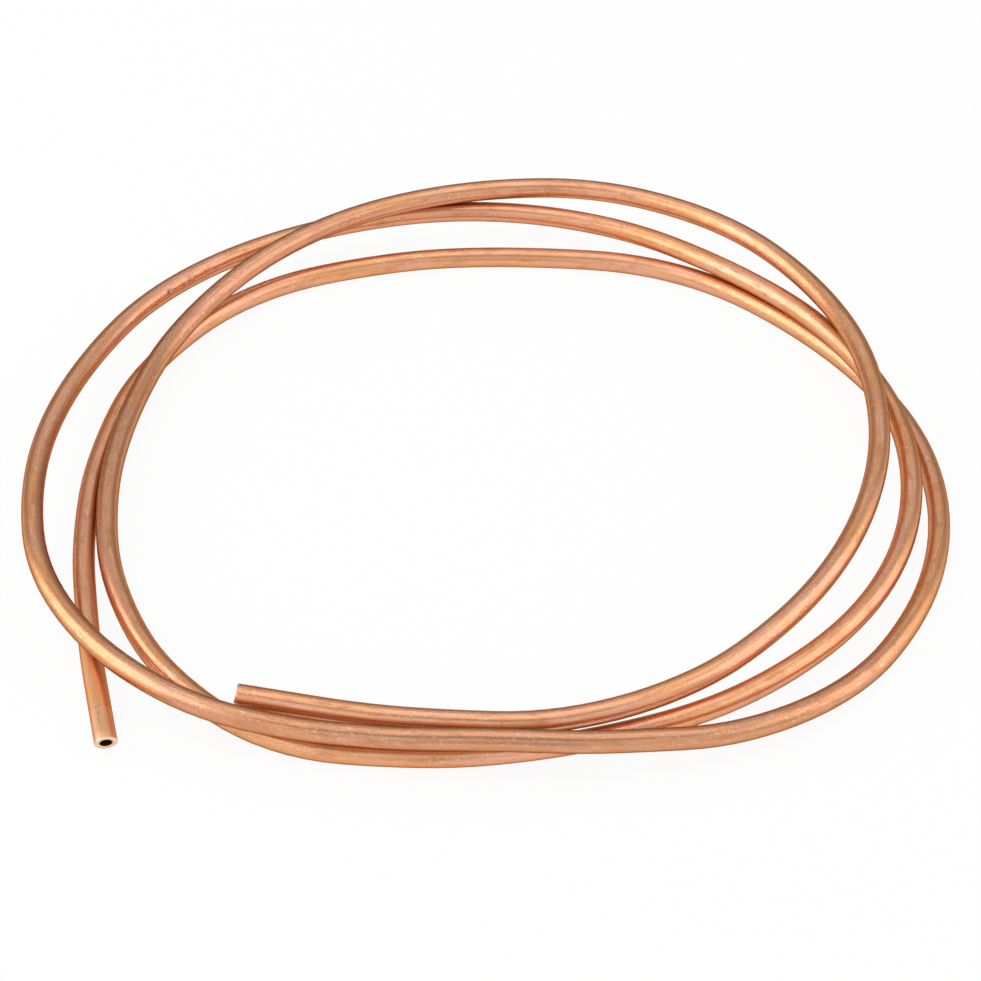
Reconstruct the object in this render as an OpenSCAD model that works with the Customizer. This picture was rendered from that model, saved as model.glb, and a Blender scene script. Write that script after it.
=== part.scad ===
// Coil of soft copper tube, about three loose turns lying on a level floor.
// Sizes are in millimetres. The floor is the plane of zero height.

/* [Tube] */
// Outside diameter of the tube
tube_od = 6; // [4:0.5:10]
// Thickness of the tube wall
tube_wall = 1; // [0.6:0.1:1.4]

/* [Coil] */
// Radius of the middle turn, measured to the tube's centre line
coil_r = 115; // [100:1:160]
// Air left between two turns that lie on each other
lay_gap = 0.1; // [0.1:0.1:2]

/* [Cut ends] */
// Straight length before the cut end that lies on the floor
tail_a = 23; // [12:1:40]
// Straight length before the cut end that lies inside the coil
tail_b = 21; // [12:1:30]
// How far the cut of the end on the floor leans over, in degrees
cut_lean = 22; // [0:1:25]
// Depth of the rim that is pressed inward at a cut
rim_depth = 1; // [0.4:0.1:2]
// How far that rim is pressed inward
rim_in = 0.3; // [0.1:0.05:0.4]

/* [Hidden] */

// The lay of the coil, read off the way the turns cross each other.
// Each row is an angle round the coil, then how far the tube lies outside the middle turn
// and how high it lies above the floor, both counted in tube pitches.
lay = [
    [-111, 0.65, 1.15],
    [-98, 0.2, 1.1],
    [-80, 0.25, 1.1],
    [-62, -0.15, 1.2],
    [-45, -0.8, 1.35],
    [-25, -1.15, 1.55],
    [0, -0.9, 1.9],
    [30, 0.2, 2.1],
    [60, 1.55, 2.1],
    [75, 1.65, 2.05],
    [90, 0.95, 2.05],
    [120, -0.65, 1.9],
    [150, -1.75, 1.1],
    [170, -2.05, 0.75],
    [190, -1.5, 0.5],
    [210, -0.2, 0.25],
    [228, 1.2, 0.1],
    [245, 2.05, 0.1],
    [262, 1.3, 0.05],
    [280, 0.7, 0.1],
    [305, 0.75, 0.25],
    [330, 0.9, 0.6],
    [360, 0.4, 0.95],
    [390, -0.25, 1.05],
    [410, -0.4, 1.05],
    [430, 0.1, 1.05],
    [450, 0.6, 1],
    [475, 0.8, 1],
    [500, 1.1, 1],
    [525, 1.1, 1],
    [545, 1.65, 1],
    [570, 2.7, 1.05],
    [585, 2.9, 1.1],
    [597, 2.7, 1.1],
    [607, 2.15, 1.1],
    [617, 1.6, 1.1],
    [630, 1.3, 1.15],
    [645, 1.9, 0.95],
    [660, 2.85, 0.5],
    [675, 3.15, 0.2],
    [690, 2.7, 0.05],
    [720, 1.4, 0],
    [750, -0.15, 0],
    [780, -0.85, 0],
    [805, -1.95, 0],
    [825, -1.9, 0],
    [850, -1.2, 0],
    [875, -1.2, 0],
    [900, -1, 0],
    [918, 0, 0],
    [932, 1.6, 0],
    [943, 3.75, 0],
];

bore_d = tube_od - 2 * tube_wall;
pitch = tube_od + lay_gap;
count = len(lay);
// Every second bend is thinner by this much on both faces and reaches this far into its neighbours
seam = 0.02;
plug = 0.4;
// Facets of the section, and of a whole turn
section_fn = 48;
turn_fn = 180;

// Small vector helpers
function unit(v) = v / norm(v);
function clamp_cos(c) = min(1, max(-1, c));

// Place of a row of the lay on the tube's centre line
function station(i) =
    let (r = coil_r + lay[i][1] * pitch)
    [r * cos(lay[i][0]), r * sin(lay[i][0]), tube_od / 2 + lay[i][2] * pitch];

// Direction of the circle through three neighbouring stations, at the middle one
function middle_way(i) =
    let (u = station(i) - station(i - 1), v = station(i + 1) - station(i))
    unit(u / (u * u) + v / (v * v));

// Direction of the tube at a station; the first and last mirror their neighbour in the chord
function mirrored(t, c) = unit(2 * (t * c) * c - t);
function way(i) =
    i == 0 ? mirrored(middle_way(1), unit(station(1) - station(0)))
    : i == count - 1 ? mirrored(middle_way(count - 2), unit(station(count - 1) - station(count - 2)))
    : middle_way(i);

// Reach of the two bends that join two stations, each leaving along its own direction
function reach(p, tp, q, tq) =
    let (v = q - p, t = tp + tq, k = 2 * (1 - tp * tq))
    k < 0.000001
        ? (v * v) / (2 * (v * t))
        : (sqrt((v * t) * (v * t) + k * (v * v)) - v * t) / k;

// A bend is its start, its direction there and its end
function bends_of(i) =
    let (
        p = station(i),
        q = station(i + 1),
        tp = way(i),
        tq = way(i + 1),
        d = reach(p, tp, q, tq),
        m = (p + q + d * (tp - tq)) / 2
    )
    [[p, tp, m], [m, unit(m - p - d * tp), q]];
bends = [for (i = [0 : count - 2]) each bends_of(i)];

// Axis, half angle, radius and centre of a bend
function bend_axis(b) = unit(cross(b[1], b[2] - b[0]));
function bend_half(b) = acos(clamp_cos(b[1] * unit(b[2] - b[0])));
function bend_r(b) = norm(b[2] - b[0]) / (2 * sin(bend_half(b)));
function bend_mid(b) = b[0] + bend_r(b) * cross(bend_axis(b), b[1]);

// Points along the bends, which give the middle of the coil's outline and its lowest place
function turned(v, axis, a) = v * cos(a) + cross(axis, v) * sin(a);
samples = [
    for (b = bends)
        for (k = [0 : 6])
            bend_mid(b) + turned(b[0] - bend_mid(b), bend_axis(b), 2 * bend_half(b) * k / 6)
];
xs = [for (s = samples) s[0]];
ys = [for (s = samples) s[1]];
zs = [for (s = samples) s[2]];
middle = [(min(xs) + max(xs)) / 2, (min(ys) + max(ys)) / 2, min(zs) - tube_od / 2];

// Ring section of the tube, thinned on both faces
module section(thin) {
    difference() {
        circle(d = tube_od - 2 * thin, $fn = section_fn);
        circle(d = bore_d + 2 * thin, $fn = section_fn);
    }
}

// One bend, lying in its own plane round its own axis
module bend(b, thin, extra) {
    r = bend_r(b);
    axis = bend_axis(b);
    c = bend_mid(b);
    out = unit(b[0] - c);
    more = extra / r * 180 / PI;
    multmatrix([
        [out[0], b[1][0], axis[0], c[0]],
        [out[1], b[1][1], axis[1], c[1]],
        [out[2], b[1][2], axis[2], c[2]],
        [0, 0, 0, 1],
    ])
        rotate([0, 0, -more])
            rotate_extrude(angle = 2 * bend_half(b) + 2 * more, $fn = turn_fn)
                translate([r, 0])
                    section(thin);
}

// A straight cut end, standing on its root with the cut at the top
module tail(length, lean, rooted) {
    ro = tube_od / 2;
    ri = bore_d / 2;
    over = ro * tan(lean) + rim_depth;
    difference() {
        rotate_extrude($fn = section_fn)
            polygon([
                [ri, seam],
                [ro, seam],
                [ro, length + over],
                [ri - rim_in, length + over],
                [ri - rim_in, length - over],
                [ri, length - over - rim_depth],
            ]);
        translate([0, 0, length])
            rotate([lean, 0, 0])
                translate([-tube_od, -tube_od, 0])
                    cube([2 * tube_od, 2 * tube_od, 2 * tube_od]);
    }
    if (rooted)
        translate([0, 0, -plug])
            linear_extrude(height = 2 * plug)
                section(seam);
}

// Puts a tail's root at a place, pointing a given way
module aim(p, way) {
    side = unit(cross([0, 0, 1], way));
    up = cross(way, side);
    multmatrix([
        [side[0], up[0], way[0], p[0]],
        [side[1], up[1], way[1], p[1]],
        [side[2], up[2], way[2], p[2]],
        [0, 0, 0, 1],
    ])
        children();
}

module copper_tube() {
    color("peru")
        translate(-middle)
            union() {
                for (i = [0 : 2 : len(bends) - 1])
                    bend(bends[i], 0, 0);
                for (i = [1 : 2 : len(bends) - 1])
                    bend(bends[i], seam, plug);
                aim(station(0), -way(0))
                    tail(tail_b, 0, true);
                aim(station(count - 1), way(count - 1))
                    tail(tail_a, cut_lean, false);
            }
}

copper_tube();
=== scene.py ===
"""Loose coil of soft copper tube on a pale floor.

The tube's visible skin runs along the same chain of bends as the solid. It gets a drawn copper
finish, a pale floor, soft studio light and a camera. Lengths are in metres.
"""

import logging
import math
from dataclasses import dataclass, field
from enum import Enum
from typing import Any

import bmesh
import bpy
import numpy as np
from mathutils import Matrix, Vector


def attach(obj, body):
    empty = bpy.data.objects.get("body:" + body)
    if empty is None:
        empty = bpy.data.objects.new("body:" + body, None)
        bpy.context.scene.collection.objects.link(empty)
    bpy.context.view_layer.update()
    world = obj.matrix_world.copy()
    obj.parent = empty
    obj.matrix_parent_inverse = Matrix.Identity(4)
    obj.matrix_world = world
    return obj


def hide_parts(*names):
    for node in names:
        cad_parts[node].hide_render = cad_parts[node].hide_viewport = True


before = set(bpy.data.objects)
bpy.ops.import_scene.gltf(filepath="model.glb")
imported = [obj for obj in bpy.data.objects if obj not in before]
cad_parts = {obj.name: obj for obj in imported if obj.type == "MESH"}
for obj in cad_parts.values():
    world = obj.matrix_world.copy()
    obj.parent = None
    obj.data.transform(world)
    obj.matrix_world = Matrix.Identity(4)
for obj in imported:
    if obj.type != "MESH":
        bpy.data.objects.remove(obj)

Colour = tuple[float, float, float, float]

LOG = logging.getLogger("copper_coil")
MM = 0.001
UP = np.array([0.0, 0.0, 1.0])
WHITE: Colour = (1.0, 1.0, 1.0, 1.0)

# The lay of the coil: angle in degrees, then offset and height in tube pitches, as in the solid.
LAY: list[tuple[float, float, float]] = [
    (-111, 0.65, 1.15),
    (-98, 0.2, 1.1),
    (-80, 0.25, 1.1),
    (-62, -0.15, 1.2),
    (-45, -0.8, 1.35),
    (-25, -1.15, 1.55),
    (0, -0.9, 1.9),
    (30, 0.2, 2.1),
    (60, 1.55, 2.1),
    (75, 1.65, 2.05),
    (90, 0.95, 2.05),
    (120, -0.65, 1.9),
    (150, -1.75, 1.1),
    (170, -2.05, 0.75),
    (190, -1.5, 0.5),
    (210, -0.2, 0.25),
    (228, 1.2, 0.1),
    (245, 2.05, 0.1),
    (262, 1.3, 0.05),
    (280, 0.7, 0.1),
    (305, 0.75, 0.25),
    (330, 0.9, 0.6),
    (360, 0.4, 0.95),
    (390, -0.25, 1.05),
    (410, -0.4, 1.05),
    (430, 0.1, 1.05),
    (450, 0.6, 1),
    (475, 0.8, 1),
    (500, 1.1, 1),
    (525, 1.1, 1),
    (545, 1.65, 1),
    (570, 2.7, 1.05),
    (585, 2.9, 1.1),
    (597, 2.7, 1.1),
    (607, 2.15, 1.1),
    (617, 1.6, 1.1),
    (630, 1.3, 1.15),
    (645, 1.9, 0.95),
    (660, 2.85, 0.5),
    (675, 3.15, 0.2),
    (690, 2.7, 0.05),
    (720, 1.4, 0),
    (750, -0.15, 0),
    (780, -0.85, 0),
    (805, -1.95, 0),
    (825, -1.9, 0),
    (850, -1.2, 0),
    (875, -1.2, 0),
    (900, -1, 0),
    (918, 0, 0),
    (932, 1.6, 0),
    (943, 3.75, 0),
]


def unit(v: np.ndarray) -> np.ndarray:
    """Returns the vector at length one."""
    return v / np.linalg.norm(v)


def turned(v: np.ndarray, axis: np.ndarray, angle: float) -> np.ndarray:
    """Turns a vector that stands square to an axis.

    Args:
        v: The vector.
        axis: The axis, at length one.
        angle: The angle in radians.

    Returns:
        The turned vector.
    """
    return v * math.cos(angle) + np.cross(axis, v) * math.sin(angle)


def carried(v: np.ndarray, axis: np.ndarray, angle: float) -> np.ndarray:
    """Turns any vector about an axis.

    Args:
        v: The vector.
        axis: The axis, at length one.
        angle: The angle in radians.

    Returns:
        The turned vector.
    """
    kept = axis * float(v @ axis)
    return kept + turned(v - kept, axis, angle)


def cross_frame(way: np.ndarray) -> tuple[np.ndarray, np.ndarray]:
    """Returns the level and the rising direction across a tube that points a given way."""
    side = unit(np.cross(UP, way))
    return side, np.cross(way, side)


class TubeEnd(Enum):
    """The two cut ends of the tube."""

    INSIDE = "inside"
    FLOOR = "floor"


class Mark(Enum):
    """What the tube's points carry for its finish, by attribute name."""

    STRAND = "strand"
    # Painted shade from a nearby turn that a point faces
    CONTACT_SHADE = "contact_shade"
    # Painted shade on the underside
    UNDERSIDE_SHADE = "underside_shade"
    DENTED = "dented"
    TAIL = "tail"
    FRESH = "fresh"


@dataclass(frozen=True)
class CutEnd:
    """Sizes of one cut end.

    Attributes:
        tail: Straight length before the cut.
        lean: How far the cut leans over, in degrees.
        edge: How far the outer edge is worn round.
        burr: How far the cut is ragged.
    """

    tail: float
    lean: float
    edge: float
    burr: float

    @property
    def slope(self) -> float:
        """How far the cut rises for each step across it."""
        return math.tan(math.radians(self.lean))

    def ragged(self, turn: float) -> float:
        """Returns how far the burr stands out at an angle round the cut."""
        waves = math.sin(3 * turn + 1) + 0.8 * math.sin(7 * turn + 2) + 0.5 * math.sin(11 * turn)
        return self.burr * waves


@dataclass(frozen=True)
class Dent:
    """One small dent in the tube's wall.

    Attributes:
        along: Distance from the cut inside the coil, along the tube.
        turn: Angle round the section in degrees, from straight outward towards up.
        radius: Radius of the hollow.
        depth: Depth of the hollow.
        lip: Height of the raised lip round it, as a share of the depth.
        lip_at: Where the lip is highest, in radii.
        lip_width: How wide the lip is, in radii.
    """

    along: float
    turn: float
    radius: float
    depth: float
    lip: float = 0.2
    lip_at: float = 1.2
    lip_width: float = 0.25

    def push(self, away: float) -> float:
        """Says how far the wall is pushed in.

        Args:
            away: Distance from the dent's middle.

        Returns:
            The depth, which is below nought on the lip.
        """
        share = away / self.radius
        hollow = self.depth * max(0.0, 1.0 - share**2) ** 2
        return hollow - self.lip * self.depth * math.exp(-(((share - self.lip_at) / self.lip_width) ** 2))


@dataclass(frozen=True)
class Bend:
    """One round bend of the tube's centre line.

    Attributes:
        start: Where it starts.
        way: The direction of the tube there.
        end: Where it ends.
    """

    start: np.ndarray
    way: np.ndarray
    end: np.ndarray

    @property
    def axis(self) -> np.ndarray:
        """The axis that the bend turns about."""
        return unit(np.cross(self.way, self.end - self.start))

    @property
    def sweep(self) -> float:
        """The angle that the bend turns through."""
        chord = unit(self.end - self.start)
        return 2.0 * math.atan2(float(np.linalg.norm(np.cross(self.way, chord))), float(self.way @ chord))

    @property
    def radius(self) -> float:
        """The radius of the centre line."""
        return float(np.linalg.norm(self.end - self.start)) / (2.0 * math.sin(self.sweep / 2.0))

    @property
    def centre(self) -> np.ndarray:
        """The middle of the bend."""
        return self.start + self.radius * np.cross(self.axis, self.way)

    @property
    def length(self) -> float:
        """The length along the centre line."""
        return self.radius * self.sweep

    def point(self, share: float) -> np.ndarray:
        """Returns the centre line's place at a share of the bend."""
        return self.centre + turned(self.start - self.centre, self.axis, self.sweep * share)

    def direction(self, along: float) -> np.ndarray:
        """Returns the direction of the tube at a distance along the bend."""
        return unit(turned(self.way, self.axis, along / self.radius))

    def nearest(self, spot: np.ndarray) -> np.ndarray:
        """Returns the place on the bend's full circle that lies nearest to a spot."""
        reach = spot - self.centre
        return self.centre + self.radius * unit(reach - self.axis * float(reach @ self.axis))

    def steps(self, step: float) -> int:
        """Returns how many steps of at most a given length the bend takes."""
        return max(2, math.ceil(self.length / step))


@dataclass
class Lay:
    """The way the tube lies, as a chain of bends.

    Attributes:
        coil_r: Radius of the middle turn.
        pitch: Distance between two turns that lie on each other.
        rise: Height of the centre line of a turn that lies on the floor.
        samples: Steps along each bend in the search for the coil's outline.
        straight: Turn between two stations below which they count as in line.
        stations: Places of the rows of the lay.
        ways: Directions of the tube at the stations.
        bends: The bends that join the stations.
    """

    coil_r: float = 115 * MM
    pitch: float = 6.1 * MM
    rise: float = 3 * MM
    samples: int = 6
    straight: float = 1e-6
    stations: list[np.ndarray] = field(init=False)
    ways: list[np.ndarray] = field(init=False)
    bends: list[Bend] = field(init=False)

    def __post_init__(self) -> None:
        """Works out the stations, the directions there and the bends, about the coil's middle."""
        self.stations = [self.station(*row) for row in LAY]
        self.ways = self.directions()
        self.bends = [b for i in range(len(LAY) - 1) for b in self.pair(i)]
        spots = np.array([b.point(k / self.samples) for b in self.bends for k in range(self.samples + 1)])
        middle = (spots.min(axis=0) + spots.max(axis=0)) / 2
        middle[2] = spots[:, 2].min() - self.rise
        self.stations = [s - middle for s in self.stations]
        self.bends = [Bend(b.start - middle, b.way, b.end - middle) for b in self.bends]

    def station(self, angle: float, offset: float, level: float) -> np.ndarray:
        """Returns the place of one row of the lay.

        Args:
            angle: Angle round the coil, in degrees.
            offset: Distance outside the middle turn, in pitches.
            level: Height above the floor, in pitches.

        Returns:
            The place on the centre line.
        """
        r = self.coil_r + offset * self.pitch
        a = math.radians(angle)
        return np.array([r * math.cos(a), r * math.sin(a), self.rise + level * self.pitch])

    def directions(self) -> list[np.ndarray]:
        """Works out how the tube points at each station.

        Returns:
            The direction of the circle through a station and its neighbours, and at the
            first and last station that of the next, mirrored in the chord.
        """
        s = self.stations
        inner = []
        for i in range(1, len(s) - 1):
            u, v = s[i] - s[i - 1], s[i + 1] - s[i]
            inner.append(unit(u / (u @ u) + v / (v @ v)))
        first, last = unit(s[1] - s[0]), unit(s[-1] - s[-2])
        head = unit(2 * (inner[0] @ first) * first - inner[0])
        foot = unit(2 * (inner[-1] @ last) * last - inner[-1])
        return [head, *inner, foot]

    def pair(self, i: int) -> list[Bend]:
        """Joins two neighbouring stations.

        Args:
            i: The first station's number.

        Returns:
            The two bends that join it to the next.
        """
        p, q, tp, tq = self.stations[i], self.stations[i + 1], self.ways[i], self.ways[i + 1]
        v, t = q - p, tp + tq
        k = 2 * (1 - tp @ tq)
        if k < self.straight:
            d = (v @ v) / (2 * (v @ t))
        else:
            d = (math.sqrt((v @ t) ** 2 + k * (v @ v)) - v @ t) / k
        m = (p + q + d * (tp - tq)) / 2
        return [Bend(p, tp, m), Bend(m, unit(m - p - d * tp), q)]


class Value:
    """A shader socket whose arithmetic adds Math nodes."""

    def __init__(self, graph: "Graph", socket: Any) -> None:
        """Holds a socket of a graph."""
        self.graph = graph
        self.socket = socket

    def math(self, operation: str, *others: Any) -> "Value":
        """Adds one Math node that starts from this value.

        Args:
            operation: The Math node's operation.
            others: The other inputs, as numbers or values.

        Returns:
            The result.
        """
        sockets = dict(enumerate((self, *others)))
        return self.graph.add("ShaderNodeMath", {"operation": operation}, sockets)

    def __add__(self, other: Any) -> "Value":
        """Sum of two values."""
        return self.math("ADD", other)

    __radd__ = __add__

    def __mul__(self, other: Any) -> "Value":
        """Product of two values."""
        return self.math("MULTIPLY", other)

    __rmul__ = __mul__

    def __sub__(self, other: Any) -> "Value":
        """This value less another."""
        return self.math("SUBTRACT", other)

    def __rsub__(self, other: float) -> "Value":
        """A number less this value."""
        return self.graph.add("ShaderNodeMath", {"operation": "SUBTRACT"}, {0: other, 1: self})

    def part(self, axis: str) -> "Value":
        """Returns one part of a vector, by the name of its axis."""
        return self.graph.add("ShaderNodeSeparateXYZ", {}, {0: self}, out=axis)

    def ramp(self, low: float, high: float) -> "Value":
        """Maps a range smoothly onto nought to one.

        Args:
            low: Where the range starts.
            high: Where it ends.

        Returns:
            The mapped value.
        """
        return self.graph.add(
            "ShaderNodeMapRange",
            {"interpolation_type": "SMOOTHSTEP"},
            {"Value": self, "From Min": low, "From Max": high},
        )


class Graph:
    """The node graph of one material or of the world."""

    def __init__(self, tree: bpy.types.NodeTree) -> None:
        """Empties a node tree and keeps it."""
        self.tree = tree
        tree.nodes.clear()

    def add(
        self,
        kind: str,
        settings: dict[str, Any] | None = None,
        sockets: dict[Any, Any] | None = None,
        out: Any = 0,
    ) -> Value:
        """Adds any node.

        Args:
            kind: The node's type.
            settings: Its own settings, set first.
            sockets: Values or links of its inputs, by name or number.
            out: The output to return, by name or number.

        Returns:
            The chosen output.
        """
        node = self.tree.nodes.new(kind)
        for name, value in (settings or {}).items():
            setattr(node, name, value)
        for key, value in (sockets or {}).items():
            if isinstance(value, Value):
                self.tree.links.new(value.socket, node.inputs[key])
            else:
                node.inputs[key].default_value = value
        if len(node.outputs) == 0:
            return Value(self, None)
        return Value(self, node.outputs[out])

    def blend(self, share: Any, a: Any, b: Any) -> Value:
        """Mixes two colours.

        Args:
            share: How much of the second, as a number or a value.
            a: The first colour.
            b: The second colour.

        Returns:
            The mixed colour.
        """
        return self.add("ShaderNodeMix", {"data_type": "RGBA"}, {0: share, 6: a, 7: b}, out=2)

    def read_share(self, mark: Mark) -> Value:
        """Reads a number that the tube's points carry."""
        return self.add("ShaderNodeAttribute", {"attribute_name": mark.value}, out="Fac")

    def read_place(self, mark: Mark) -> Value:
        """Reads a vector that the tube's points carry."""
        return self.add("ShaderNodeAttribute", {"attribute_name": mark.value}, out="Vector")


@dataclass(frozen=True)
class Grain:
    """One pattern of noise, drawn out along the tube.

    Attributes:
        across: How fine it is across the tube, in cells per metre.
        along: How fine it is along the tube, in cells per metre.
        detail: Number of finer layers.
        rough: Weight of the finer layers.
        shows: Noise at which the pattern starts to show, and at which it shows in full.
    """

    across: float
    along: float
    detail: float = 2.0
    rough: float = 0.5
    shows: tuple[float, float] = (0.0, 1.0)

    def draw(self, place: Value) -> Value:
        """Draws the pattern.

        Args:
            place: The place on the straightened tube.

        Returns:
            The noise, about nought to one.
        """
        scale = (self.across, self.across, self.along)
        at = place.graph.add("ShaderNodeVectorMath", {"operation": "MULTIPLY"}, {0: place, 1: scale})
        sockets = {"Vector": at, "Scale": 1.0, "Detail": self.detail, "Roughness": self.rough}
        return place.graph.add("ShaderNodeTexNoise", {}, sockets)

    def shown(self, place: Value) -> Value:
        """Returns how much the pattern shows at a place on the straightened tube."""
        return self.draw(place).ramp(*self.shows)


@dataclass(frozen=True)
class EndMarks:
    """The scribed ring and the crease near the cut that lies on the floor.

    Attributes:
        ring: Distance of the ring from the cut.
        ring_width: Half the ring's width, where it is full and where it ends.
        crease: Side offset of the crease that runs from the ring to the cut.
        crease_width: Half the crease's width, where it is full and where it ends.
        ring_wander: How far the ring strays.
        crease_wander: How far the crease strays.
        crease_top: Height over the centre line at which the crease is full.
        crease_start: Length past the ring over which the crease sets in.
        pale_start: Length past the ring over which the paler metal sets in.
        stray: Pattern by which both stray.
        gaps: Pattern by which both are broken up.
    """

    ring: float = 12.6 * MM
    ring_width: tuple[float, float] = (0.1 * MM, 0.4 * MM)
    crease: float = -0.9 * MM
    crease_width: tuple[float, float] = (0.06 * MM, 0.24 * MM)
    ring_wander: float = 1.4 * MM
    crease_wander: float = 1.6 * MM
    crease_top: float = 0.5 * MM
    crease_start: float = 0.3 * MM
    pale_start: float = 0.4 * MM
    stray: Grain = Grain(700, 350)
    gaps: Grain = Grain(900, 900, 2.0, 0.5, (0.36, 0.56))

    def draw(self, g: Graph) -> tuple[Value, Value]:
        """Draws the marks.

        Args:
            g: The material's graph.

        Returns:
            How much a place lies past the ring, and how much it lies in a scratch.
        """
        tail = g.read_place(Mark.TAIL)
        wander = self.stray.draw(tail) - 0.5
        broken = self.gaps.shown(tail)
        past = self.ring - tail.part("Z") + wander * self.ring_wander
        ring = (1.0 - past.math("ABSOLUTE").ramp(*self.ring_width)) * broken
        aside = (tail.part("X") - self.crease + wander * self.crease_wander).math("ABSOLUTE")
        on_top = tail.part("Y").ramp(0.0, self.crease_top)
        line = (1.0 - aside.ramp(*self.crease_width)) * on_top * past.ramp(0.0, self.crease_start)
        return past.ramp(0.0, self.pale_start), ring.math("MAXIMUM", line * broken)


@dataclass(frozen=True)
class DrawnCopper:
    """Bare copper with drawing lines, handling marks and a little tarnish, and painted shade between turns
    and on the underside.

    Attributes:
        pink: Colour of clean metal.
        orange: Colour of metal with a warm tarnish.
        brown_tarnish_and_shade: Colour of the tarnished lines, and of the painted shade on the underside.
        pale: Colour of freshly rubbed lines and of the cuts.
        clean: Colour of the bright metal near the cut that lies on the floor.
        pits_and_gap_shade: Colour of pits, and of the painted shade in the gaps between turns.
        contact_shade_colour: Colour of the painted shade on metal that faces another turn.
        stain: Colour of the two browner stretches.
        grey: Colour of the dents.
        edge: Tint of the metal where it is seen at a slant.
        gloss: Roughness of clean metal.
        relief: Depth of the finest relief.
        relief_strength: How strongly that relief shows.
        stained: Where the browner stretches start and end along the tube.
        fade: Length over which such a stretch fades out.
        bright: Where the tube turns bright towards its cut on the floor.
        ridged: Noise of the drawing lines at which ridges are highest, and at which they end.
        contact_shade_span: Nearness of another turn at which the painted shade of metal that faces it
            starts, and at which it is full.
        gap_shade_span: Nearness at which the painted shade of a gap starts, and at which it is full.
        dirty: Blotches at which a dent starts to be dirty, and at which it is.
        bands: Broad bands along the tube.
        lines: Drawing lines, which show as grooves.
        fine: Finest drawing lines.
        hue: Slow change between pink and orange.
        blotch: Blotches of tarnish.
        worn: Worn places, where lines are cut deeper and rubbed more.
        rubs: Short rubbed streaks.
        pits: Small pits.
        marks: The marks near the cut that lies on the floor.
    """

    pink: Colour = (0.91, 0.45, 0.28, 1.0)
    orange: Colour = (0.90, 0.42, 0.19, 1.0)
    brown_tarnish_and_shade: Colour = (0.50, 0.17, 0.07, 1.0)
    pale: Colour = (1.0, 0.74, 0.54, 1.0)
    clean: Colour = (0.99, 0.50, 0.24, 1.0)
    pits_and_gap_shade: Colour = (0.24, 0.12, 0.07, 1.0)
    contact_shade_colour: Colour = (0.72, 0.42, 0.26, 1.0)
    stain: Colour = (0.60, 0.28, 0.15, 1.0)
    grey: Colour = (0.34, 0.25, 0.19, 1.0)
    edge: Colour = (0.28, 0.20, 0.17, 1.0)
    gloss: float = 0.30
    relief: float = 0.05 * MM
    relief_strength: float = 0.4
    stained: tuple[tuple[float, float], ...] = ((0.40, 0.70), (1.38, 1.72))
    fade: float = 0.12
    bright: tuple[float, float] = (2.165, 2.19)
    ridged: tuple[float, float] = (0.30, 0.46)
    contact_shade_span: tuple[float, float] = (0.2, 0.7)
    gap_shade_span: tuple[float, float] = (0.8, 1.0)
    dirty: tuple[float, float] = (0.3, 0.6)
    bands: Grain = Grain(700, 38, 3.0, 0.6, (0.52, 0.74))
    lines: Grain = Grain(2200, 150, 3.0, 0.6, (0.54, 0.70))
    fine: Grain = Grain(4200, 500, 2.0, 0.6, (0.56, 0.72))
    hue: Grain = Grain(190, 30, 3.0, 0.6, (0.36, 0.64))
    blotch: Grain = Grain(420, 150, 4.0, 0.65, (0.50, 0.74))
    worn: Grain = Grain(260, 70, 3.0, 0.5, (0.38, 0.62))
    rubs: Grain = Grain(2300, 950, 2.0, 0.7, (0.58, 0.67))
    pits: Grain = Grain(1900, 1500, 1.0, 0.5, (0.76, 0.80))
    marks: EndMarks = EndMarks()

    def make(self, name: str) -> bpy.types.Material:
        """Makes the material.

        Args:
            name: The material's name.

        Returns:
            The material, which reads the tube's own attributes.
        """
        material = bpy.data.materials.new(name)
        material.use_nodes = True
        g = Graph(material.node_tree)
        strand = g.read_place(Mark.STRAND)
        # Nearness of a facing turn and the underside, which carry painted shade
        contact_shade, underside_shade = g.read_share(Mark.CONTACT_SHADE), g.read_share(Mark.UNDERSIDE_SHADE)
        along = strand.part("Z")
        bands, lines, fine = (grain.draw(strand) for grain in (self.bands, self.lines, self.fine))
        blotch = self.blotch.draw(strand)
        wear = self.worn.shown(strand)
        tarnish = blotch.ramp(*self.blotch.shows) * 0.5
        grooves = lines.ramp(*self.lines.shows) * (0.3 + wear * 0.7)
        ridges = (1.0 - lines.ramp(*self.ridged)) * (1.0 - wear * 0.5)
        smooth = along.ramp(*self.bright)
        rubbed = self.rubs.shown(strand) * (0.15 + wear * 0.85) * (1.0 - smooth * 0.5)
        pitted = self.pits.shown(strand)
        marked, scored = self.marks.draw(g)

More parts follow.
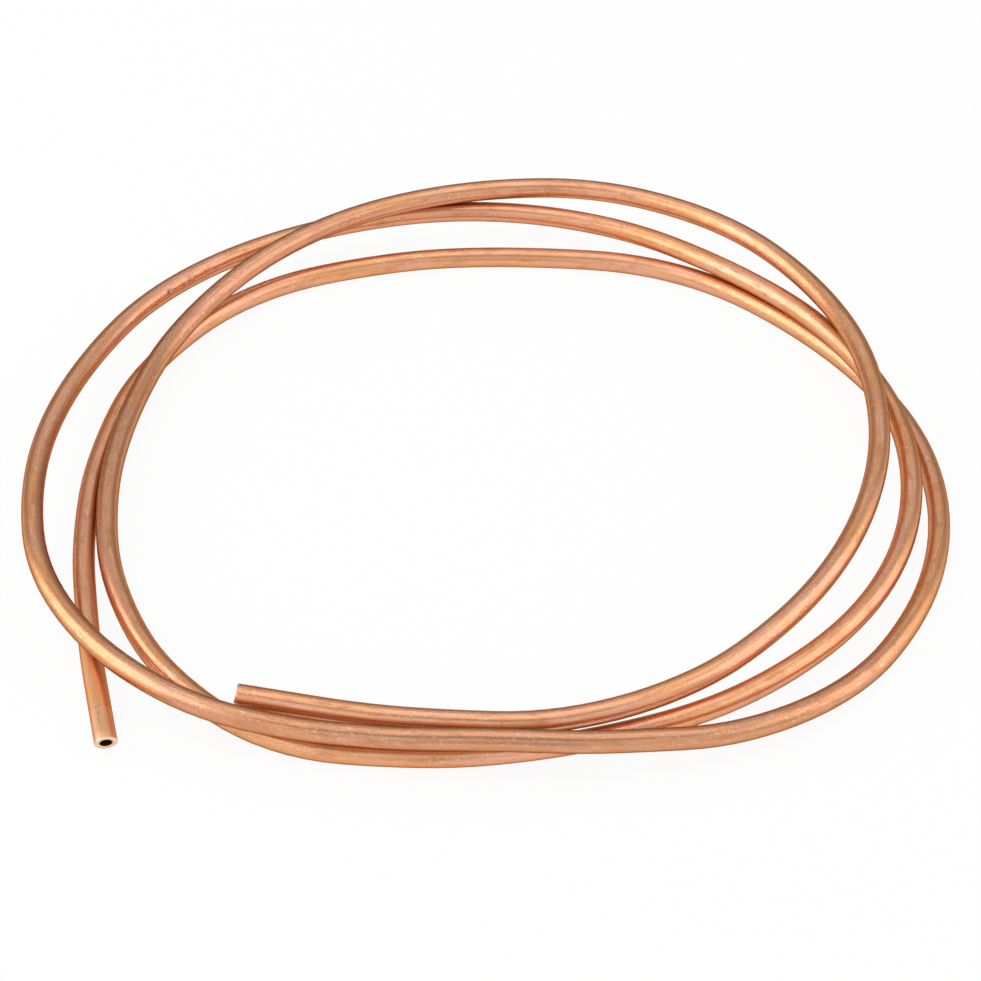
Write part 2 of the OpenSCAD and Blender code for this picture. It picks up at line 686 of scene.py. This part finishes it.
        # How much of each layer shows and its colour, from the ground up
        layers: tuple[tuple[Value, Colour], ...] = (
            (tarnish, self.brown_tarnish_and_shade),
            (bands.ramp(*self.bands.shows) * 0.25, self.brown_tarnish_and_shade),
            (self.browner(along) * (0.35 + blotch * 0.4), self.stain),
            (grooves * 0.45, self.brown_tarnish_and_shade),
            (ridges * 0.3, self.pale),
            (fine.ramp(*self.fine.shows) * 0.3, self.pale),
            (rubbed * 0.7, self.pale),
            (pitted * 0.7, self.pits_and_gap_shade),
            (smooth * 0.5, self.clean),
            (marked * 0.2, self.pale),
            (scored * 0.4, self.brown_tarnish_and_shade),
            # Painted shade on the underside, less where another turn is near
            (underside_shade * (0.4 - contact_shade * 0.4), self.brown_tarnish_and_shade),
            # Painted shade on metal that faces another turn
            (contact_shade.ramp(*self.contact_shade_span) * 0.8, self.contact_shade_colour),
            # Painted shade in the gaps between turns
            (contact_shade.ramp(*self.gap_shade_span) * 0.9, self.pits_and_gap_shade),
            (g.read_share(Mark.DENTED) * blotch.ramp(*self.dirty), self.grey),
            (g.read_share(Mark.FRESH), self.pale),
        )
        colour = g.blend(self.hue.shown(strand), self.pink, self.orange)
        for share, tint in layers:
            colour = g.blend(share, colour, tint)
        roughness = self.gloss + (lines - 0.5) * 0.3 + tarnish * 0.2 - rubbed * 0.1 + smooth * 0.06
        height = lines * 0.4 + bands * 0.1 + fine * 0.35 + rubbed * 0.85 - pitted * 1.2 - scored * 0.9
        relief = {"Strength": self.relief_strength, "Distance": self.relief, "Height": height}
        metal = {
            "Base Color": colour,
            "Metallic": 1.0,
            "Roughness": roughness,
            "Normal": g.add("ShaderNodeBump", {}, relief),
            "Specular Tint": self.edge,
        }
        shader = g.add("ShaderNodeBsdfPrincipled", {}, metal)
        g.add("ShaderNodeOutputMaterial", {}, {"Surface": shader})
        return material

    def browner(self, along: Value) -> Value:
        """Draws the browner stretches.

        Args:
            along: The place along the tube.

        Returns:
            How much a place lies in one of them.
        """
        first, *others = (
            along.ramp(start, start + self.fade) * (1.0 - along.ramp(end - self.fade, end))
            for start, end in self.stained
        )
        return sum(others, first)


@dataclass
class CopperTube:
    """The coiled tube.

    Attributes:
        outer_r: Outside radius.
        bore_r: Radius of the bore.
        ends: The two cut ends.
        rim_depth: Depth of the rim that is pressed inward at a cut.
        rim_in: How far that rim is pressed inward.
        lip_edge: How far the mouth's edge is broken.
        edge_round: Two points of the worn outer edge, as shares of its radius below the cut and inward.
        dents: The dents in the wall.
        dent_reach: How far from a dent the skin is made finer.
        dent_drop: How far below a dent's place the skin still belongs to its side of the wall.
        dent_edge: Length past which an edge of the skin there runs along the tube.
        dent_cuts: Cuts that make the skin finer there.
        dent_stain: How strongly a dent is stained.
        dent_spread: How far that stain spreads, in radii of the dent.
        sides: Sides of the section.
        ring_step: Distance between two rings of the skin.
        tail_rings: Rings along a straight tail, for the finish.
        touch: Distance within which a point counts as lying on a ring.
        slack: Distance by which a search reaches past the tube.
        weld: Distance below which points are merged.
        fresh_edge: How far down its worn edge a cut shows fresh metal, as a share of that edge.
        crisp: Angle in degrees past which an edge stays sharp.
        apart: Length along the tube past which it counts as another turn.
        batch: Points that are searched at a time.
        shade_reach: Distance from another turn at which its shade ends.
        facing_from: Cosine to another turn at which its shade starts.
        facing_full: Cosine to another turn at which its shade is full.
        underside_shade_from: Height over the centre line, in radii, below which the painted shade of the
            underside starts.
        lay: The way the tube lies.
    """

    outer_r: float = 3 * MM
    bore_r: float = 2 * MM
    ends: dict[TubeEnd, CutEnd] = field(
        default_factory=lambda: {
            TubeEnd.INSIDE: CutEnd(21 * MM, 0.0, 0.15 * MM, 0.14 * MM),
            TubeEnd.FLOOR: CutEnd(23 * MM, 22.0, 0.4 * MM, 0.05 * MM),
        }
    )
    rim_depth: float = 1 * MM
    rim_in: float = 0.3 * MM
    lip_edge: float = 0.1 * MM
    edge_round: tuple[tuple[float, float], ...] = ((0.5, 0.13), (0.13, 0.5))
    dents: tuple[Dent, ...] = (
        Dent(1266 * MM, 147.0, 1.3 * MM, 0.24 * MM),
        Dent(1257 * MM, 140.0, 1.0 * MM, 0.16 * MM),
    )
    dent_reach: float = 6 * MM
    dent_drop: float = 0.9 * MM
    dent_edge: float = 2 * MM
    dent_cuts: int = 11
    dent_stain: float = 0.85
    dent_spread: float = 1.2
    sides: int = 40
    ring_step: float = 5 * MM
    tail_rings: int = 12
    touch: float = 0.02 * MM
    slack: float = 0.1 * MM
    weld: float = 0.01 * MM
    fresh_edge: float = 0.6
    crisp: float = 35.0
    apart: float = 40 * MM
    batch: int = 2000
    shade_reach: float = 6 * MM
    facing_from: float = 0.45
    facing_full: float = 0.9
    underside_shade_from: float = 0.6
    lay: Lay = field(default_factory=Lay)

    def build(self) -> bpy.types.Object:
        """Models the tube's skin.

        Returns:
            The tube, at the origin, with its place in its mesh.
        """
        bpy.ops.object.select_all(action="DESELECT")
        start = tuple(self.lay.stations[0])
        turn = Vector(self.lay.ways[0]).to_track_quat("Z", "Y").to_euler()
        bpy.ops.mesh.primitive_circle_add(
            vertices=self.sides, radius=self.outer_r, location=start, rotation=turn
        )
        tube = bpy.context.object
        tube.name = "copper_tube_skin"
        bpy.ops.object.transform_apply(location=True, rotation=True, scale=True)
        bpy.ops.object.mode_set(mode="EDIT")
        bpy.ops.mesh.select_all(action="DESELECT")
        bpy.ops.mesh.primitive_circle_add(
            vertices=self.sides, radius=self.bore_r, location=start, rotation=turn
        )
        bpy.ops.mesh.select_all(action="SELECT")
        for bend in self.lay.bends:
            bpy.ops.mesh.spin(
                steps=bend.steps(self.ring_step),
                angle=-bend.sweep,
                center=tuple(bend.centre),
                axis=tuple(bend.axis),
            )
        for end in (TubeEnd.FLOOR, TubeEnd.INSIDE):
            self.pull_tail(tube, end)
            self.lean_cut(tube, end)
        bpy.ops.mesh.select_all(action="SELECT")
        bpy.ops.mesh.remove_doubles(threshold=self.weld)
        bpy.ops.mesh.normals_make_consistent(inside=False)
        for dent in self.dents:
            self.press(tube, dent)
        bpy.ops.object.mode_set(mode="OBJECT")
        bpy.ops.object.shade_smooth_by_angle(angle=math.radians(self.crisp))
        self.write_marks(tube)
        return tube

    def end_frame(self, end: TubeEnd) -> tuple[np.ndarray, np.ndarray]:
        """Finds where a tail starts.

        Args:
            end: Which end.

        Returns:
            The root of the tail and the direction that it points.
        """
        if end is TubeEnd.FLOOR:
            return self.lay.stations[-1], self.lay.ways[-1]
        return self.lay.stations[0], -self.lay.ways[0]

    def rim_base(self, cut: CutEnd) -> float:
        """Returns how far along its tail the pressed rim of a cut starts."""
        return cut.tail - self.outer_r * cut.slope - self.rim_depth

    def pick_ring(self, tube: bpy.types.Object, place: np.ndarray, way: np.ndarray, radius: float) -> None:
        """Selects one ring of the skin by its place.

        Args:
            tube: The tube, in edit mode.
            place: The middle of the ring.
            way: The direction of the tube there.
            radius: The ring's radius.
        """
        bpy.ops.mesh.select_all(action="DESELECT")
        mesh = bmesh.from_edit_mesh(tube.data)
        for vert in mesh.verts:
            reach = np.array(vert.co) - place
            along = float(reach @ way)
            across = float(np.linalg.norm(reach - along * way))
            vert.select = abs(along) < self.touch and abs(across - radius) < self.touch
        mesh.select_flush_mode()
        mesh.select_flush(True)
        bmesh.update_edit_mesh(tube.data)

    def pull_tail(self, tube: bpy.types.Object, end: TubeEnd) -> None:
        """Pulls out a straight tail, wall and bore, up to a square cut.

        Args:
            tube: The tube, in edit mode.
            end: Which end.
        """
        root, way = self.end_frame(end)
        cut = self.ends[end]
        length, base = cut.tail, self.rim_base(cut)
        lip_r = self.bore_r - self.rim_in
        worn = [(length - a * cut.edge, self.outer_r - b * cut.edge) for a, b in self.edge_round]
        wall = [
            (length / 2, self.outer_r),
            (base, self.outer_r),
            (length - cut.edge, self.outer_r),
            *worn,
            (length, self.outer_r - cut.edge),
            (length, lip_r + self.lip_edge),
        ]
        bore = [
            (length / 2, self.bore_r),
            (base - self.rim_depth, self.bore_r),
            (base, lip_r),
            (length - self.lip_edge, lip_r),
            (length, lip_r + self.lip_edge),
        ]
        for profile, radius in ((wall, self.outer_r), (bore, self.bore_r)):
            self.pick_ring(tube, root, way, radius)
            at, r = 0.0, radius
            for reach, ring_r in profile:
                step = tuple(way * (reach - at))
                bpy.ops.mesh.extrude_edges_move(TRANSFORM_OT_translate={"value": step})
                bpy.ops.transform.resize(
                    value=(ring_r / r,) * 3, center_override=tuple(root + way * reach)
                )
                at, r = reach, ring_r

    def lean_cut(self, tube: bpy.types.Object, end: TubeEnd) -> None:
        """Leans a square cut over and gives it its burr.

        Args:
            tube: The tube, in edit mode.
            end: Which end.
        """
        root, way = self.end_frame(end)
        cut = self.ends[end]
        side, up = cross_frame(way)
        lip_r = self.bore_r - self.rim_in
        margin = self.slack / 2
        mesh = bmesh.from_edit_mesh(tube.data)
        for vert in mesh.verts:
            reach = np.array(vert.co) - root
            along = float(reach @ way)
            across = float(np.linalg.norm(np.cross(reach, way)))
            on_rim = self.rim_base(cut) + margin < along < cut.tail + self.slack
            if across >= self.outer_r + self.slack or not on_rim:
                continue
            vert.co += Vector(way * cut.slope * float(reach @ up))
            if along > cut.tail - cut.edge - margin:
                share = (across - lip_r) / (self.outer_r - lip_r)
                turn = math.atan2(float(reach @ up), float(reach @ side))
                vert.co += Vector(way * cut.ragged(turn) * max(0.0, share))
        bmesh.update_edit_mesh(tube.data)

    def dent_frame(self, dent: Dent) -> tuple[Bend, np.ndarray, np.ndarray]:
        """Finds where a dent lies.

        Args:
            dent: The dent.

        Returns:
            The bend that it lies on, its place on the wall and the wall's outward direction there.
        """
        along = dent.along - self.ends[TubeEnd.INSIDE].tail
        for bend in self.lay.bends:
            if along <= bend.length:
                break
            along -= bend.length
        middle = bend.point(along / bend.length)
        out = unit(np.array([middle[0], middle[1], 0.0]))
        up = cross_frame(bend.direction(along))[1]
        angle = math.radians(dent.turn)
        normal = unit(out * math.cos(angle) + up * math.sin(angle))
        return bend, middle + normal * self.outer_r, normal

    def press(self, tube: bpy.types.Object, dent: Dent) -> None:
        """Presses one dent into the wall.

        Args:
            tube: The tube, in edit mode.
            dent: The dent.
        """
        bend, place, normal = self.dent_frame(dent)
        bpy.ops.mesh.select_mode(type="EDGE")
        bpy.ops.mesh.select_all(action="DESELECT")
        mesh = bmesh.from_edit_mesh(tube.data)
        for edge in mesh.edges:
            reach = np.array((edge.verts[0].co + edge.verts[1].co) / 2) - place
            outside = reach @ normal > -self.dent_drop
            lengthwise = edge.calc_length() > self.dent_edge
            if outside and lengthwise and np.linalg.norm(reach) < self.dent_reach:
                edge.select = True
        bmesh.update_edit_mesh(tube.data)
        bpy.ops.mesh.subdivide(number_cuts=self.dent_cuts)
        mesh = bmesh.from_edit_mesh(tube.data)
        for vert in mesh.verts:
            spot = np.array(vert.co)
            away = float(np.linalg.norm(spot - place))
            if away > self.dent_reach or (spot - place) @ normal < -self.dent_drop:
                continue
            if vert.select:
                middle = bend.nearest(spot)
                spot = middle + self.outer_r * unit(spot - middle)
            vert.co = Vector(spot - normal * dent.push(away))
        bmesh.update_edit_mesh(tube.data)
        bpy.ops.mesh.select_mode(type="VERT")

    def write_marks(self, tube: bpy.types.Object) -> None:
        """Writes what the finish reads as attributes of the tube's points.

        Args:
            tube: The finished tube.
        """
        flat = np.empty(len(tube.data.vertices) * 3)
        tube.data.vertices.foreach_get("co", flat)
        points = flat.reshape(-1, 3)
        marks = {
            **self.strand_marks(points),
            Mark.DENTED: self.dent_marks(points),
            Mark.TAIL: self.tail_marks(points),
            Mark.FRESH: self.cut_marks(points),
        }
        for mark, values in marks.items():
            kind, key = ("FLOAT_VECTOR", "vector") if values.ndim == 2 else ("FLOAT", "value")
            layer = tube.data.attributes.new(mark.value, kind, "POINT")
            layer.data.foreach_set(key, values.ravel())

    def strand_marks(self, points: np.ndarray) -> dict[Mark, np.ndarray]:
        """Finds each point's place on the straightened tube and its painted shade from other turns and on
        the underside.

        Args:
            points: The tube's points.

        Returns:
            The place across and along the tube, the nearness of another turn that the point faces,
            for painted shade between turns, and how far the point is on the underside, for painted shade
            there.
        """
        places, sides, ups, alongs = self.rings()
        near = np.empty(len(points), dtype=int)
        toward = np.empty_like(points)
        for low in range(0, len(points), self.batch):
            part = slice(low, low + self.batch)
            gaps = np.linalg.norm(points[part][:, None] - places[None], axis=2)
            near[part] = gaps.argmin(axis=1)
            gaps[np.abs(alongs[near[part]][:, None] - alongs[None]) < self.apart] = np.inf
            toward[part] = places[gaps.argmin(axis=1)] - points[part]
        reach = points - places[near]
        across = (reach * sides[near]).sum(axis=1)
        rising = (reach * ups[near]).sum(axis=1)
        ahead = (reach * np.cross(sides, ups)[near]).sum(axis=1)
        far = np.linalg.norm(toward, axis=1)
        facing = (reach * toward).sum(axis=1) / (np.linalg.norm(reach, axis=1) * far)
        shade = np.clip(1.0 - (far - self.outer_r) / self.shade_reach, 0.0, 1.0)
        span = self.facing_full - self.facing_from
        faced = np.clip((facing - self.facing_from) / span, 0.0, 1.0)
        return {
            Mark.STRAND: np.stack([across, rising, alongs[near] + ahead], axis=1),
            # Painted shade from a facing turn nearby
            Mark.CONTACT_SHADE: shade * faced,
            # Painted shade on the underside
            Mark.UNDERSIDE_SHADE: np.clip(self.underside_shade_from - reach[:, 2] / self.outer_r, 0.0, 1.0),
        }

    def dent_marks(self, points: np.ndarray) -> np.ndarray:
        """Finds how much each point lies in a dent.

        Args:
            points: The tube's points.

        Returns:
            A share for each point.
        """
        dented = np.zeros(len(points))
        for dent in self.dents:
            away = np.linalg.norm(points - self.dent_frame(dent)[1], axis=1)
            fall = np.exp(-((away / (self.dent_spread * dent.radius)) ** 2))
            dented = np.maximum(dented, self.dent_stain * fall)
        return dented

    def end_places(self, points: np.ndarray, end: TubeEnd) -> tuple[np.ndarray, np.ndarray]:
        """Finds each point's place on one tail.

        Args:
            points: The tube's points.
            end: Which end.

        Returns:
            The place to the side, upward and back from the cut, and whether the point lies on the
            tail's line.
        """
        root, way = self.end_frame(end)
        cut = self.ends[end]
        side, up = cross_frame(way)
        reach = points - root
        back = cut.tail + cut.slope * (reach @ up) - reach @ way
        on_line = np.linalg.norm(np.cross(reach, way), axis=1) < self.outer_r + self.slack
        return np.stack([reach @ side, reach @ up, back], axis=1), on_line

    def tail_marks(self, points: np.ndarray) -> np.ndarray:
        """Finds each point's place on the tail that lies on the floor.

        Args:
            points: The tube's points.

        Returns:
            The place to the side, upward and back from the cut, or far off it on the rest of the tube.
        """
        root, way = self.end_frame(TubeEnd.FLOOR)
        tail, on_line = self.end_places(points, TubeEnd.FLOOR)
        along = (points - root) @ way
        beyond = self.ends[TubeEnd.FLOOR].tail + self.outer_r
        on_tail = on_line & (along > -self.slack) & (along < beyond)
        # A metre back from the cut, where no mark reaches
        tail[~on_tail] = (0.0, 0.0, 1.0)
        return tail

    def cut_marks(self, points: np.ndarray) -> np.ndarray:
        """Finds the points on the fresh metal of the two cuts.

        Args:
            points: The tube's points.

        Returns:
            One on a cut and nought elsewhere, for each point.
        """
        fresh = np.zeros(len(points))
        for end, cut in self.ends.items():
            tail, on_line = self.end_places(points, end)
            past = -tail[:, 2]
            fresh[on_line & (past > -self.fresh_edge * cut.edge) & (past < self.rim_depth)] = 1.0
        return fresh

    def rings(self) -> tuple[np.ndarray, np.ndarray, np.ndarray, np.ndarray]:
        """Lists rings along the tube, with a frame that never twists.

        Returns:
            The rings' middles, their two cross directions and their places along the tube.
        """
        rows: list[tuple[np.ndarray, np.ndarray, np.ndarray, float]] = []
        shares = [k / self.tail_rings for k in range(self.tail_rings + 1)]
        way = self.lay.ways[0]
        side, up = cross_frame(way)
        along = self.ends[TubeEnd.INSIDE].tail
        for share in shares[:-1]:
            rows.append((self.lay.stations[0] - way * along * (1 - share), side, up, along * share))
        for bend in self.lay.bends:
            steps = 2 * bend.steps(self.ring_step)
            for share in (k / steps for k in range(steps)):
                here = carried(side, bend.axis, bend.sweep * share)
                rise = np.cross(bend.direction(bend.length * share), here)
                rows.append((bend.point(share), here, rise, along + bend.length * share))
            side = unit(carried(side, bend.axis, bend.sweep))
            along += bend.length
        way = self.lay.ways[-1]
        side = unit(side - way * float(side @ way))
        up = np.cross(way, side)
        tail = self.ends[TubeEnd.FLOOR].tail
        for share in shares:
            rows.append((self.lay.stations[-1] + way * tail * share, side, up, along + tail * share))
        places, sides, ups, alongs = (np.array(column) for column in zip(*rows))
        return places, sides, ups, alongs

    def dress(self, tube: bpy.types.Object, finish: DrawnCopper) -> None:
        """Gives the tube its finish and its place in the frame.

        Args:
            tube: The tube.
            finish: The metal's finish.
        """
        tube.data.materials.clear()
        tube.data.materials.append(finish.make("drawn_copper"))
        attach(tube, "root")
        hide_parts("copper_tube")


@dataclass(frozen=True)
class PaleFloor:
    """The floor that the coil lies on.

    Attributes:
        reach: Half its width.
        cuts: Cuts across it each way.
        colour: Its colour.
        glow: How much of it shows as plain white rather than as lit.
    """

    reach: float = 3.0
    cuts: int = 3
    colour: Colour = (0.96, 0.96, 0.96, 1.0)
    glow: float = 0.92

    def build(self) -> bpy.types.Object:
        """Makes the floor.

        Returns:
            The floor, which isn't part of the object.
        """
        bpy.ops.object.select_all(action="DESELECT")
        bpy.ops.mesh.primitive_plane_add(size=2 * self.reach, location=(0, 0, 0))
        floor = bpy.context.object
        floor.name = "floor"
        bpy.ops.object.mode_set(mode="EDIT")
        bpy.ops.mesh.subdivide(number_cuts=self.cuts)
        bpy.ops.object.mode_set(mode="OBJECT")
        floor.data.materials.append(self.finish("pale_floor"))
        return floor

    def finish(self, name: str) -> bpy.types.Material:
        """Makes the floor's material.

        Args:
            name: The material's name.

        Returns:
            The material, which looks nearly white and still takes the coil's shadow.
        """
        material = bpy.data.materials.new(name)
        material.use_nodes = True
        g = Graph(material.node_tree)
        camera, glossy, through = (
            g.add("ShaderNodeLightPath", out=f"Is {ray} Ray") for ray in ("Camera", "Glossy", "Transmission")
        )
        seen = camera.math("MAXIMUM", glossy).math("MAXIMUM", through)
        lit = g.add("ShaderNodeBsdfDiffuse", {}, {"Color": self.colour})
        white = g.add("ShaderNodeEmission", {}, {"Color": WHITE, "Strength": 1.0})
        mixed = g.add("ShaderNodeMixShader", {}, {0: seen * self.glow, 1: lit, 2: white})
        g.add("ShaderNodeOutputMaterial", {}, {"Surface": mixed})
        return material


@dataclass(frozen=True)
class SoftBox:
    """One soft lamp.

    Attributes:
        name: The lamp's name.
        place: Where it hangs.
        size: Its width and depth.
        power: Its power in watts.
    """

    name: str
    place: tuple[float, float, float]
    size: tuple[float, float]
    power: float

    def hang(self) -> bpy.types.Object:
        """Hangs the lamp so that it faces the coil.

        Returns:
            The lamp.
        """
        data = bpy.data.lights.new(self.name, "AREA")
        data.shape = "RECTANGLE"
        data.size, data.size_y = self.size
        data.energy = self.power
        lamp = bpy.data.objects.new(self.name, data)
        bpy.context.scene.collection.objects.link(lamp)
        lamp.location = self.place
        lamp.rotation_euler = (-Vector(self.place)).to_track_quat("-Z", "Y").to_euler()
        return lamp


@dataclass(frozen=True)
class Studio:
    """The soft light around the coil.

    Attributes:
        ambient: Strength of the even light from all round.
        lamps: The soft lamps.
    """

    ambient: float = 0.33
    lamps: tuple[SoftBox, ...] = (
        SoftBox("left_soft_box", (-1.16, 0.0, 0.6), (1.3, 1.4), 9.9),
        SoftBox("right_soft_box", (1.16, 0.0, 0.6), (1.3, 1.4), 6.0),
        SoftBox("front_left_soft_box", (-0.62, -1.05, 0.55), (1.2, 1.2), 2.7),
        SoftBox("front_right_soft_box", (0.62, -1.05, 0.55), (1.2, 1.2), 2.3),
        SoftBox("top_soft_box", (0.0, 0.15, 1.3), (1.4, 1.3), 4.8),
        SoftBox("back_soft_box", (0.0, 1.05, 0.88), (2.0, 0.2), 0.95),
    )

    def light(self) -> None:
        """Sets the world and hangs the lamps."""
        world = bpy.data.worlds.new("studio")
        world.use_nodes = True
        g = Graph(world.node_tree)
        sky = g.add("ShaderNodeBackground", {}, {"Color": WHITE, "Strength": self.ambient})
        g.add("ShaderNodeOutputWorld", {}, {"Surface": sky})
        bpy.context.scene.world = world
        for lamp in self.lamps:
            LOG.info("lamp %s", lamp.hang().name)


@dataclass(frozen=True)
class PhotoCamera:
    """The camera at the picture's viewing angle.

    Attributes:
        place: Where it stands.
        down: How far it looks down, in degrees.
        focal_px: Focal length in pixels of the square picture.
        picture_px: Width of the picture in pixels.
        sensor: Width of the sensor in millimetres.
        nearest: Nearest distance that it sees.
        farthest: Farthest distance that it sees.
    """

    place: tuple[float, float, float] = (1.15 * MM, -748.2 * MM, 578.1 * MM)
    down: float = 38.0
    focal_px: float = 3365.0
    picture_px: float = 981.0
    sensor: float = 36.0
    nearest: float = 0.01
    farthest: float = 20.0

    def stand(self) -> bpy.types.Object:
        """Puts the camera in its place.

        Returns:
            The camera, now the scene's own.
        """
        data = bpy.data.cameras.new("photo_camera")
        data.sensor_fit = "HORIZONTAL"
        data.sensor_width = self.sensor
        data.lens = self.sensor * self.focal_px / self.picture_px
        data.clip_start = self.nearest
        data.clip_end = self.farthest
        camera = bpy.data.objects.new("photo_camera", data)
        bpy.context.scene.collection.objects.link(camera)
        camera.location = self.place
        camera.rotation_euler = (math.radians(90.0 - self.down), 0.0, 0.0)
        bpy.context.scene.camera = camera
        return camera


def main() -> None:
    """Builds the coil and its studio."""
    logging.basicConfig(level=logging.INFO, format="%(name)s: %(message)s")
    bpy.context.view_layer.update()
    bpy.context.scene.view_settings.view_transform = "Standard"
    coil = CopperTube()
    tube = coil.build()
    coil.dress(tube, DrawnCopper())
    LOG.info("tube with %d faces along %d bends", len(tube.data.polygons), len(coil.lay.bends))
    floor = PaleFloor().build()
    LOG.info("floor %s", floor.name)
    Studio().light()
    camera = PhotoCamera().stand()
    LOG.info("camera lens %.1f mm", camera.data.lens)


if __name__ == "__main__":
    main()
